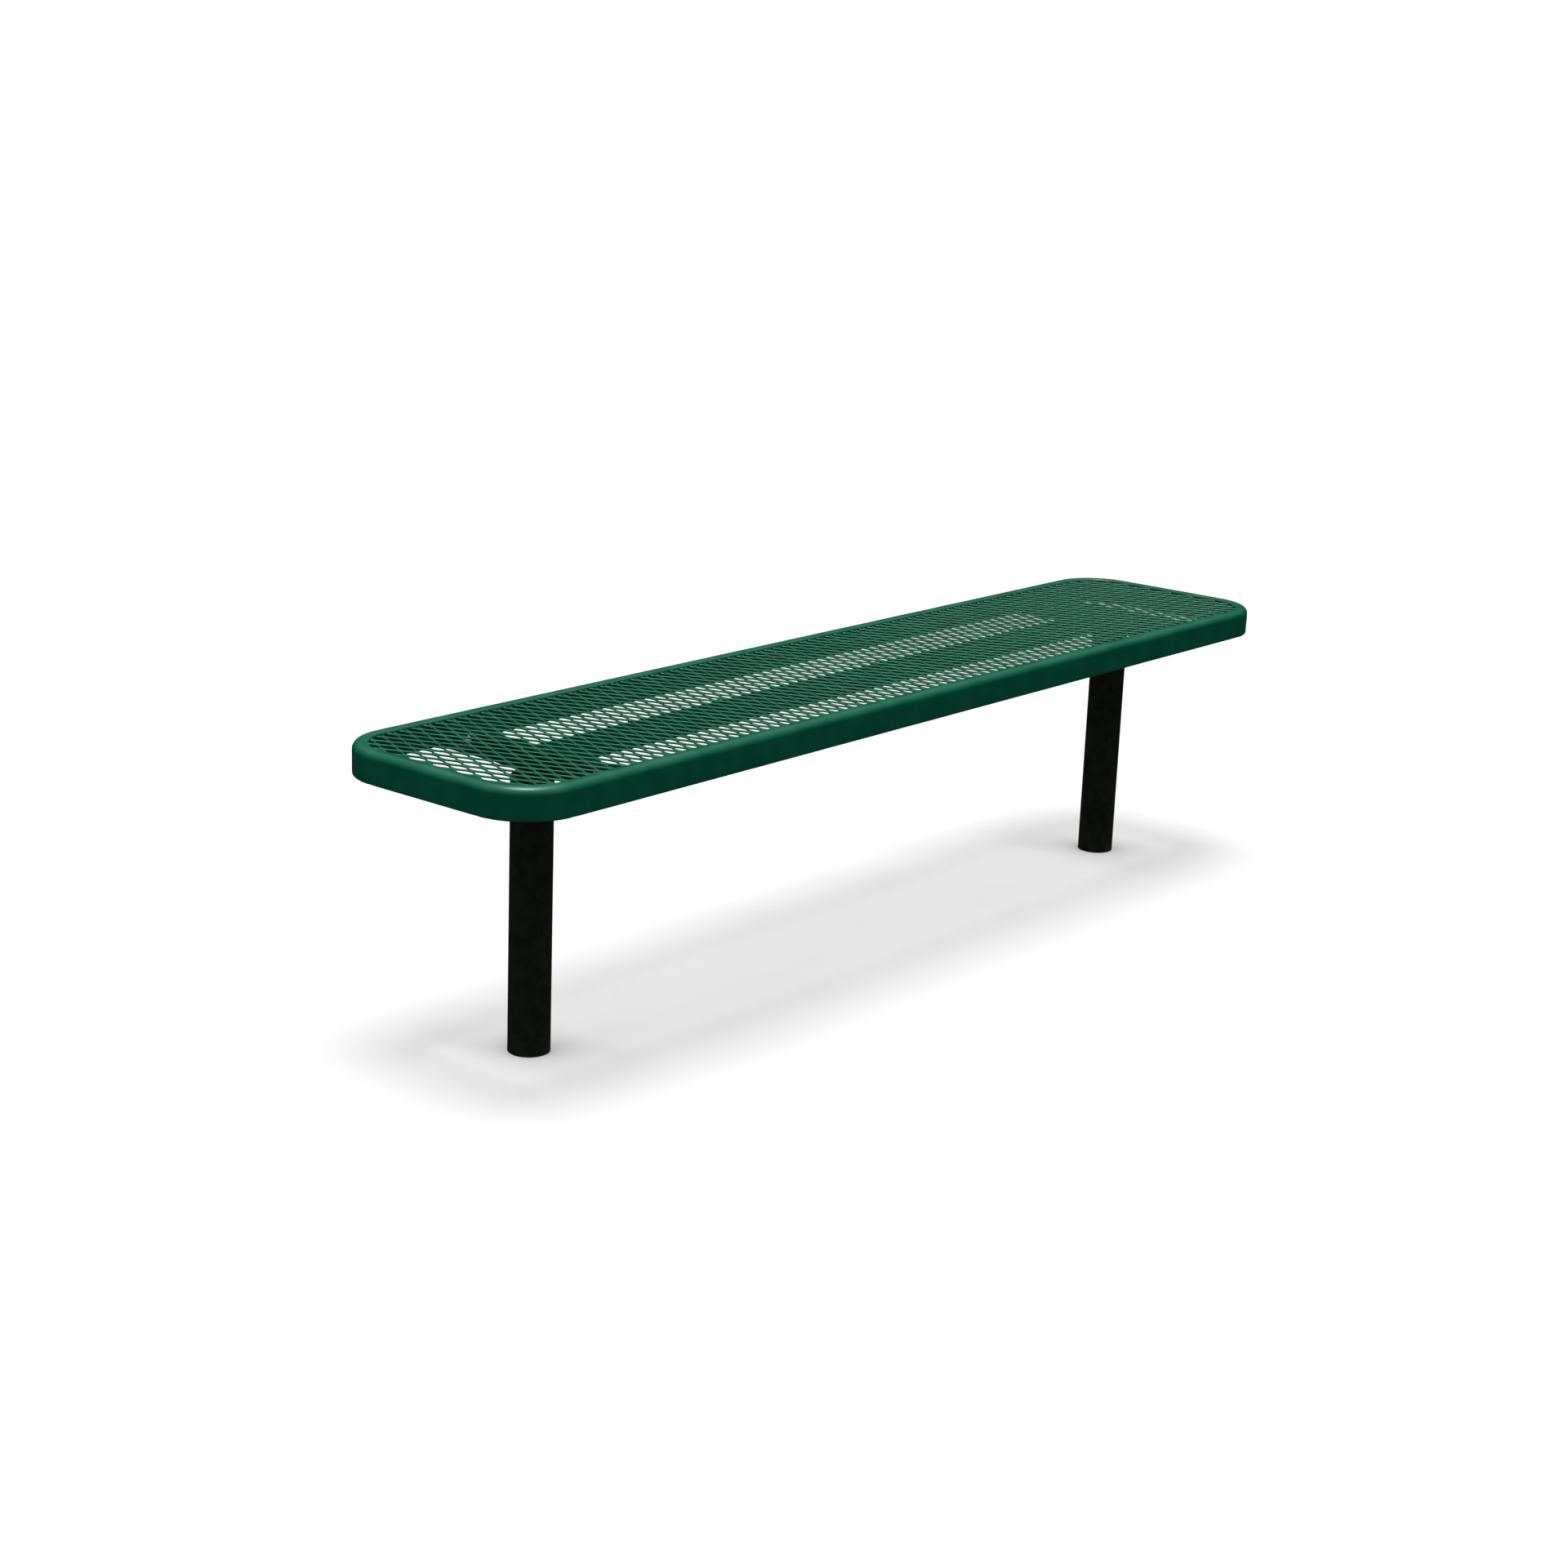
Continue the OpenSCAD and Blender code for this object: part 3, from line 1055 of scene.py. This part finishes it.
@dataclass(frozen=True)
class SeatFrame:
    """Flat bars on edge under the mesh, welded to the rails and to each other."""

    ease: float = 1.1 * MM
    clipped: float = 5 * MM
    bead: WeldBead = WeldBead()
    weld_inset: float = 3 * MM
    tack_gap: float = 88 * MM
    tack_half: float = 5 * MM

    def bar(
        self,
        node: str,
        stand: Matrix,
        size: tuple[float, float, float],
        holes: Sequence[tuple[float, float, float]] = (),
        clipped: float = 0.0,
    ) -> bpy.types.Object:
        """Builds a bar.

        Args:
            node: The frame node that it stands for.
            stand: Takes the bar's own plane to its place.
            size: Length, height and thickness of the bar.
            holes: Place and radius of each hole in the bar's plane.
            clipped: How much is clipped off its two upper corners.

        Returns:
            The piece.
        """
        length, height, thickness = size
        x, y = length / 2, height / 2
        cuts = 24
        loop = [(x * (2 * i / cuts - 1), -y) for i in range(cuts + 1)]
        if clipped:
            loop.append((x, y - clipped))
        loop += [((x - clipped) * (1 - 2 * i / cuts), y) for i in range(cuts + 1)]
        if clipped:
            loop.append((-x, y - clipped))
        draft = Draft()
        CutPlate(tuple(loop), tuple(holes), thickness, self.ease).add(draft, stand)
        return draft.build(f"{node}_bar")

    def dress(self, finishes: Finishes) -> None:
        """Builds and finishes the bars, their welds and the tacks that hold the mesh."""
        size, at = extent("center_stiffener"), centre("center_stiffener")
        stand = Matrix.Translation(at) @ Matrix.Rotation(math.pi / 2, 4, "X")
        bar = self.bar("center_stiffener", stand, (size.x, size.z, size.y))
        finishes.dress(bar, finishes.green, "center_stiffener")
        for side in Side:
            node = f"{side.word}_cross_bar"
            size, at = extent(node), centre(node)
            holes = [(y, z - at.z, BOLT_HOLE) for y, z in bolt_places(side)]
            stand = Matrix.Translation(at) @ ACROSS
            bar = self.bar(node, stand, (size.y, size.z, size.x), holes, self.clipped)
            finishes.dress(bar, finishes.green, node)
        finishes.dress(self.welds(), finishes.green)

    def welds(self) -> bpy.types.Object:
        """Builds the fillet welds of the bars and the tacks between bars and mesh.

        Returns:
            The piece.
        """
        draft = Draft()
        low_c, high_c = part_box("center_stiffener")
        for side in Side:
            low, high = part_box(f"{side.word}_cross_bar")
            for x in (low.x, high.x):
                for y in (low.y, high.y):
                    foot = Vector((x, y, low.z + self.weld_inset))
                    self.bead.lay(draft, foot, Vector((x, y, high.z - self.clipped)))
            x = high.x if side is Side.LEFT else low.x
            for y in (low_c.y, high_c.y):
                foot = Vector((x, y, low_c.z + self.weld_inset))
                self.bead.lay(draft, foot, Vector((x, y, high_c.z - self.weld_inset)))
        tack = WeldBead(radius=2.2 * MM, sides=8)
        count = int((high_c.x - low_c.x) / self.tack_gap)
        for i in range(1, count):
            x = low_c.x + (high_c.x - low_c.x) * i / count
            y = low_c.y if i % 2 else high_c.y
            middle, half_tack = Vector((x, y, high_c.z)), Vector((self.tack_half, 0, 0))
            tack.lay(draft, middle - half_tack, middle + half_tack)
        return draft.build("seat_frame_welds")


# ---------------------------------------------------------------------------------------------
# Legs
# ---------------------------------------------------------------------------------------------


@dataclass(frozen=True)
class Post:
    """Round tube post with the slot for its saddle plate, and the welds that hold the plate."""

    side: Side
    radius: float
    height: float
    x: float
    slot_half: float
    slot_bottom: float
    wall: float = 3.9 * MM
    ease: float = 0.5 * MM
    band: float = 60 * MM
    columns: int = 96

    @classmethod
    def from_frame(cls, side: Side) -> "Post":
        """Reads the sizes from the frame's boxes."""
        node = f"{side.word}_post"
        low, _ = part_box(f"{side.word}_saddle_plate")
        plate = extent(f"{side.word}_saddle_plate").x
        return cls(
            side=side,
            radius=extent(node).x / 2,
            height=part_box(node)[1].z,
            x=centre(node).x,
            slot_half=plate / 2 + 0.1 * MM,
            slot_bottom=low.z,
        )

    def column_points(self, radius: float) -> list[Point2]:
        """Points round the tube at this radius, with a pair on each edge of the slot."""
        points = []
        edge = math.degrees(math.asin(self.slot_half / radius))
        for quarter in range(4):
            start = 90 * quarter
            first = start + (edge if quarter in (1, 3) else 0)
            stop = start + 90 - (edge if quarter in (0, 2) else 0)
            steps = self.columns // 4
            points += arc((0, 0), radius, first, stop, steps)[: None if quarter in (0, 2) else -1]
        return points

    def build(self) -> bpy.types.Object:
        """Builds the tube.

        Returns:
            The piece.
        """
        e, top, slot = self.ease, self.height, self.slot_bottom
        heights = [0.0, e, 12 * MM, *(self.band * i for i in range(1, 6))]
        heights += [slot - 6 * MM, slot, slot + 8 * MM, top - 8 * MM, top - e, top]
        draft = Draft()
        outer, inner = [], []
        for z in heights:
            drawn = e if z in (0.0, top) else 0.0
            outer.append(draft.ring(Vector((x, y, z)) for x, y in self.column_points(self.radius - drawn)))
            bore = self.column_points(self.radius - self.wall + drawn)
            inner.append(draft.ring(Vector((x, y, z)) for x, y in bore))
        count = len(outer[0])
        points = self.column_points(self.radius)
        in_slot = [abs(x) < self.slot_half * 1.01 for x, _ in points]
        open_cells = {i for i in range(count) if in_slot[i] and in_slot[(i + 1) % count]}
        level = heights.index(slot)
        for h in range(len(heights) - 1):
            for i in range(count):
                if i in open_cells and h >= level:
                    continue
                j = (i + 1) % count
                draft.face(outer[h][i], outer[h][j], outer[h + 1][j], outer[h + 1][i])
                draft.face(inner[h][i], inner[h + 1][i], inner[h + 1][j], inner[h][j])
        for i in range(count):
            j = (i + 1) % count
            draft.face(outer[0][i], inner[0][i], inner[0][j], outer[0][j])
            rim = level if i in open_cells else -1
            draft.face(outer[rim][i], outer[rim][j], inner[rim][j], inner[rim][i])
            if i in open_cells:
                for h in range(level, len(heights) - 1):
                    for k in (i, j):
                        draft.face(outer[h][k], inner[h][k], inner[h + 1][k], outer[h + 1][k])
        draft.moved(Matrix.Translation((self.x, 0, 0)))
        return draft.build(f"{self.side.word}_post_tube", smooth_below=35.0)

    def welds(self) -> bpy.types.Object:
        """Builds the four upright welds between the tube and its plate.

        Returns:
            The piece.
        """
        draft = Draft()
        reach = math.sqrt(self.radius**2 - self.slot_half**2)
        bead = WeldBead(radius=2.4 * MM)
        rise = Vector((0, 0, self.height - self.slot_bottom - 3 * MM))
        half_width = Vector((5 * MM, 0, 0))
        for sx in (-1, 1):
            for sy in (-1, 1):
                edge = self.x + sx * self.slot_half
                foot = Vector((edge, sy * (reach - 0.4 * MM), self.slot_bottom + 1 * MM))
                bead.lay(draft, foot, foot + rise)
        for sy in (-1, 1):
            middle = Vector((self.x, sy * (reach - 0.5 * MM), self.slot_bottom))
            bead.lay(draft, middle - half_width, middle + half_width)
        return draft.build(f"{self.side.word}_post_welds")

    def dress(self, finishes: Finishes) -> None:
        """Builds and finishes the tube and its welds."""
        finishes.dress(self.build(), finishes.black, f"{self.side.word}_post")
        finishes.dress(self.welds(), finishes.black)


@dataclass(frozen=True)
class SaddlePlate:
    """Upright plate in the post's slot, cut to a wide shallow T with tapered wings."""

    side: Side
    post: Post
    end_height: float = 27 * MM
    tongue_inset: float = 0.5 * MM
    shoulder: float = 4 * MM
    corner: float = 1.5 * MM
    ease: float = 0.7 * MM

    def build(self) -> bpy.types.Object:
        """Builds the plate.

        Returns:
            The piece.
        """
        node = f"{self.side.word}_saddle_plate"
        low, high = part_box(node)
        bar_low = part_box(f"{self.side.word}_cross_bar")[0].z
        half, end_z = (high.y - low.y) / 2, high.z - self.end_height
        tongue, shoulder = self.post.radius - self.tongue_inset, self.post.radius + self.shoulder
        corners = [
            (-tongue, low.z), (tongue, low.z), (tongue, bar_low), (shoulder, bar_low),
            (half, end_z), (half, high.z), (-half, high.z), (-half, end_z),
            (-shoulder, bar_low), (-tongue, bar_low),
        ]
        holes = tuple((y, z, BOLT_HOLE) for y, z in bolt_places(self.side))
        stand = Matrix.Translation((centre(node).x, 0, 0)) @ ACROSS
        draft = Draft()
        outline = tuple(rounded(corners, self.corner))
        CutPlate(outline, holes, extent(node).x, self.ease).add(draft, stand)
        return draft.build(f"{node}_cut")

    def dress(self, finishes: Finishes) -> None:
        """Builds and finishes the plate."""
        finishes.dress(self.build(), finishes.black, f"{self.side.word}_saddle_plate")


# ---------------------------------------------------------------------------------------------
# Fasteners
# ---------------------------------------------------------------------------------------------


@dataclass(frozen=True)
class BoltSet:
    """The two bolts of one leg with their washers and nuts."""

    side: Side
    bolt_radius: float = 4.7625 * MM
    across_flats: float = 14.3 * MM
    head: float = 6.1 * MM
    pitch: float = 1.5875 * MM
    hole_gap: float = 0.4 * MM
    thread_gap: float = 0.05 * MM
    washer_thickness: float = 1.6 * MM
    plain_shank: float = 9 * MM
    first_turn: float = 17.0
    next_turn: float = 23.0
    columns: int = 48

    def stands(self) -> list[Matrix]:
        """Where each bolt stands, with +Z turned towards the middle of the seat."""
        x = centre(f"{self.side.word}_post").x
        turn = Matrix.Rotation(-self.side.value * math.pi / 2, 4, "Y")
        return [Matrix.Translation((x, y, z)) @ turn for y, z in bolt_places(self.side)]

    def reach(self, node: str) -> tuple[float, float]:
        """Start and stop of a node along the bolts' axis, measured from the post's axis."""
        low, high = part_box(f"{self.side.word}_{node}")
        x = centre(f"{self.side.word}_post").x
        ends = sorted((-self.side.value * (low.x - x), -self.side.value * (high.x - x)))
        return ends[0], ends[1]

    def hexagon(self, angle: float) -> float:
        """Distance from the axis to the hexagon's side at an angle."""
        return self.across_flats / 2 / math.cos((angle + math.pi / 6) % (math.pi / 3) - math.pi / 6)

    def turned(
        self,
        draft: Draft,
        profile: Sequence[tuple[float | None, float]],
        chamfer_up: float = 0.0,
        chamfer_down: float = 0.0,
    ) -> list[list[int]]:
        """Adds rings round the axis.

        Args:
            draft: Draft to add to.
            profile: Radius and height of each ring, with None for the hexagon.
            chamfer_up: Height of the upper chamfer's end, if the hexagon ring is under it.
            chamfer_down: Height of the lower chamfer's end, if the hexagon ring is over it.

        Returns:
            The rings of point numbers.
        """
        rings = []
        angles = [2 * math.pi * i / self.columns for i in range(self.columns)]
        for radius, height in profile:
            row = []
            for angle in angles:
                r, z = radius, height
                if r is None:
                    r = self.hexagon(angle)
                    fall = max(0.0, r - self.across_flats / 2 * 0.985) * math.tan(math.radians(30))
                    if height == chamfer_up:
                        z = chamfer_up - fall
                    elif height == chamfer_down:
                        z = chamfer_down + fall
                row.append(Vector((r * math.cos(angle), r * math.sin(angle), z)))
            rings.append(draft.ring(row))
        return rings

    def bolt(self, draft: Draft) -> None:
        """Adds a bolt: chamfered head, washer face, shank and thread."""
        start, stop = self.reach("bolts")
        seat, r, flat = start + self.head, self.bolt_radius, self.across_flats / 2
        profile: list[tuple[float | None, float]] = [
            (flat * 0.30, start + 0.15 * MM), (flat * 0.88, start), (flat * 0.97, start + 0.05 * MM),
            (None, start), (None, seat - 0.5 * MM), (flat * 0.96, seat - 0.4 * MM), (flat * 0.94, seat),
            (r + 0.4 * MM, seat), (r, seat + 0.5 * MM),
        ]
        z = seat + self.plain_shank
        profile.append((r, z))
        while z < stop - 1.5 * self.pitch:
            thread = ((0.87, 0.42), (0.87, 0.5), (1.0, 0.92), (1.0, 1.0))
            profile += [(r * share, z + self.pitch * turn) for share, turn in thread]
            z += self.pitch
        profile += [(r * 0.86, stop - 0.3 * MM), (r * 0.80, stop), (r * 0.3, stop)]
        draft.loft(self.turned(draft, profile, chamfer_down=start))

    def nut(self, draft: Draft) -> None:
        """Adds a nut, chamfered on both faces."""
        start, stop = self.reach("nuts")
        flat, bore = self.across_flats / 2, self.bolt_radius + self.thread_gap
        profile: list[tuple[float | None, float]] = [
            (bore, start + 0.7 * MM), (bore + 0.7 * MM, start), (flat * 0.96, start), (None, start),
            (None, stop), (flat * 0.95, stop), (bore + 0.7 * MM, stop), (bore, stop - 0.7 * MM),
        ]
        rings = self.turned(draft, profile, chamfer_up=stop, chamfer_down=start)
        draft.loft(rings, capped=False)
        draft.bridge(rings[-1], rings[0])

    def washer(self, draft: Draft, start: float, stop: float, radius: float, bore: float) -> None:
        """Adds a flat washer with rounded edges.

        Args:
            draft: Draft to add to.
            start: Where it starts along the axis.
            stop: Where it stops.
            radius: Its outer radius.
            bore: Its hole's radius.
        """
        e = 0.3 * MM
        profile = [
            (bore, start + e), (bore + e, start), (radius - e, start), (radius, start + e),
            (radius, stop - e), (radius - 2 * e, stop), (bore + e, stop), (bore, stop - e),
        ]
        rings = self.turned(draft, profile)
        draft.loft(rings, capped=False)
        draft.bridge(rings[-1], rings[0])

    def lock_washer(self, draft: Draft, radius: float, bore: float) -> None:
        """Adds a split lock washer.

        Args:
            draft: Draft to add to.
            radius: Its outer radius.
            bore: Its hole's radius.
        """
        start, stop = self.reach("lock_washers")
        e, slit = 0.25 * MM, 0.7 * MM
        gap = math.asin(slit / radius)
        section = (
            (bore, start + e), (bore + e, start), (radius - e, start), (radius, start + e),
            (radius, stop - e), (radius - e, stop), (bore + e, stop), (bore, stop - e),
        )
        rings = []
        for i in range(self.columns + 1):
            angle = gap + (2 * math.pi - 2 * gap) * i / self.columns
            cos, sin = math.cos(angle), math.sin(angle)
            rings.append(draft.ring(Vector((r * cos, r * sin, z)) for r, z in section))
        draft.loft(rings)

    def dress(self, finishes: Finishes) -> None:
        """Builds and finishes every fastener of the leg."""
        word = self.side.word
        flat = extent(f"{word}_flat_washers").z / 2
        lock = extent(f"{word}_lock_washers").z / 2
        bore = self.bolt_radius + self.hole_gap
        first, last = self.reach("flat_washers")
        thick = self.washer_thickness
        makers: dict[str, Callable[[Draft], None]] = {
            "bolts": self.bolt,
            "nuts": self.nut,
            "lock_washers": lambda draft: self.lock_washer(draft, lock, bore),
            "flat_washers": lambda draft: (
                self.washer(draft, first, first + thick, flat, bore),
                self.washer(draft, last - thick, last, flat, bore),
            ),
        }
        for node, maker in makers.items():
            draft = Draft()
            for i, stand in enumerate(self.stands()):
                start = len(draft.points)
                maker(draft)
                turn = 0.0 if node == "lock_washers" else self.first_turn + self.next_turn * i
                spin = Matrix.Rotation(math.radians(turn), 4, "Z")
                draft.moved(stand @ spin, start)
            piece = draft.build(f"{word}_{node}_set", smooth_below=30.0)
            finishes.dress(piece, finishes.zinc, f"{word}_{node}")


# ---------------------------------------------------------------------------------------------
# Studio
# ---------------------------------------------------------------------------------------------


@dataclass(frozen=True)
class Sun:
    """A broad far-off light, its spread in degrees."""

    name: str
    power: float
    place: tuple[float, float, float]
    aim: tuple[float, float, float]
    spread: float
    in_gloss: bool = True
    in_matt: bool = True

    def hang(self) -> None:
        """Hangs the light in the scene."""
        data = bpy.data.lights.new(self.name, "SUN")
        data.energy = self.power
        data.angle = math.radians(self.spread)
        lamp = bpy.data.objects.new(self.name, data)
        lamp.location = self.place
        lamp.rotation_mode = "QUATERNION"
        lamp.rotation_quaternion = (Vector(self.aim) - Vector(self.place)).to_track_quat("-Z", "Y")
        lamp.visible_glossy = self.in_gloss
        lamp.visible_diffuse = self.in_matt
        bpy.context.scene.collection.objects.link(lamp)


@dataclass(frozen=True)
class Studio:
    """Plain pale floor, soft overhead light and the camera."""

    suns: tuple[Sun, ...] = (
        Sun("overhead", 2.6, (0, 0, 4), (0.05, 0, 0), 24.0),
        Sun("front_fill", 0.62, (1.4, -3.0, 1.7), (0, 0, 0.3), 60.0, in_gloss=False),
        Sun("end_fill", 0.62, (-3.0, 1.4, 1.7), (0, 0, 0.3), 60.0, in_gloss=False),
        Sun("spark", 0.9, (0, 0, 4), (0, 0, 0), 7.0, in_matt=False),
    )
    floor_half: float = 40.0
    turn: float = -50.71
    rise: float = 15.34
    roll: float = 2.21
    aim: tuple[float, float, float] = (0.62897, 0.65557, 0.0)
    distance: float = 5.16202
    lens: float = 61.93

    def lay_floor(self) -> None:
        """Lays the floor with a plain near-white finish."""
        draft = Draft()
        h = self.floor_half
        draft.face(*draft.ring(Vector((x, y, 0)) for x, y in ((-h, -h), (h, -h), (h, h), (-h, h))))
        floor = draft.build("studio_floor")
        material, graph, shader = new_material("pale_floor")
        place = graph.add("ShaderNodeTexCoord").outputs["Object"]
        patches = graph.span(graph.grain(place, 3.0), 0.3, 0.7)
        tone = graph.blend(patches, (0.80, 0.80, 0.80, 1), (0.82, 0.82, 0.82, 1))
        graph.wire(tone, shader.inputs["Base Color"])
        shader.inputs["Roughness"].default_value = 0.9
        shader.inputs["Specular IOR Level"].default_value = 0.0
        floor.data.materials.append(material)
        floor.visible_glossy = False
        floor.visible_diffuse = False

    def light(self) -> None:
        """Hangs the lights and sets the dim surroundings."""
        scene = bpy.context.scene
        scene.view_settings.view_transform = "Standard"
        world = bpy.data.worlds.new("studio_surround")
        scene.world = world
        world.use_nodes = True
        graph = NodeGraph(world.node_tree)
        world.node_tree.nodes.clear()
        seen = graph.add("ShaderNodeBackground")
        seen.inputs["Color"].default_value = (1, 1, 1, 1)
        seen.inputs["Strength"].default_value = 1.0
        height = graph.add("ShaderNodeSeparateXYZ")
        graph.wire(graph.add("ShaderNodeTexCoord").outputs["Generated"], height.inputs[0])
        ramp = graph.add("ShaderNodeValToRGB")
        stops = ramp.color_ramp.elements
        stops[0].position, stops[0].color = 0.0, (0.10, 0.10, 0.10, 1)
        stops[1].position, stops[1].color = 1.0, (0.75, 0.75, 0.75, 1)
        stops.new(0.45).color = (0.0, 0.0, 0.0, 1)
        stops.new(0.66).color = (0.006, 0.006, 0.006, 1)
        graph.wire(graph.maths("MULTIPLY_ADD", height.outputs["Z"], 0.5, 0.5), ramp.inputs[0])
        felt = graph.add("ShaderNodeBackground")
        graph.wire(ramp.outputs["Color"], felt.inputs["Color"])
        mix = graph.add("ShaderNodeMixShader")
        graph.wire(graph.add("ShaderNodeLightPath").outputs["Is Camera Ray"], mix.inputs[0])
        graph.wire(felt.outputs[0], mix.inputs[1])
        graph.wire(seen.outputs[0], mix.inputs[2])
        graph.wire(mix.outputs[0], graph.add("ShaderNodeOutputWorld").inputs[0])
        for sun in self.suns:
            sun.hang()

    def aim_camera(self) -> None:
        """Sets up the camera."""
        turn, rise, roll = (math.radians(a) for a in (self.turn, self.rise, self.roll))
        back = Vector((math.sin(turn) * math.cos(rise), -math.cos(turn) * math.cos(rise), math.sin(rise)))
        right = (-back).cross(Vector((0, 0, 1))).normalized()
        up = right.cross(-back)
        right2 = right * math.cos(roll) + up * math.sin(roll)
        up2 = up * math.cos(roll) - right * math.sin(roll)
        data = bpy.data.cameras.new("camera")
        data.lens, data.sensor_width = self.lens, 36.0
        data.clip_start, data.clip_end = 0.05, 200.0
        camera = bpy.data.objects.new("camera", data)
        bpy.context.scene.collection.objects.link(camera)
        frame_of_view = Matrix((right2, up2, back)).transposed().to_4x4()
        camera.matrix_world = Matrix.Translation(Vector(self.aim) + back * self.distance) @ frame_of_view
        bpy.context.scene.camera = camera

    def build(self) -> None:
        """Builds the whole studio."""
        self.lay_floor()
        self.light()
        self.aim_camera()


def main() -> None:
    """Builds the bench piece by piece, then the studio."""
    logging.basicConfig(level=logging.INFO, format="%(name)s: %(message)s")
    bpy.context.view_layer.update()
    finishes = Finishes.mixed()
    rim = Rim.from_frame()
    rim.dress(finishes)
    ExpandedMetal.from_frame(rim).dress(finishes)
    SeatFrame().dress(finishes)
    for side in Side:
        post = Post.from_frame(side)
        post.dress(finishes)
        SaddlePlate(side, post).dress(finishes)
        BoltSet(side).dress(finishes)
    Studio().build()


if __name__ == "__main__":
    main()
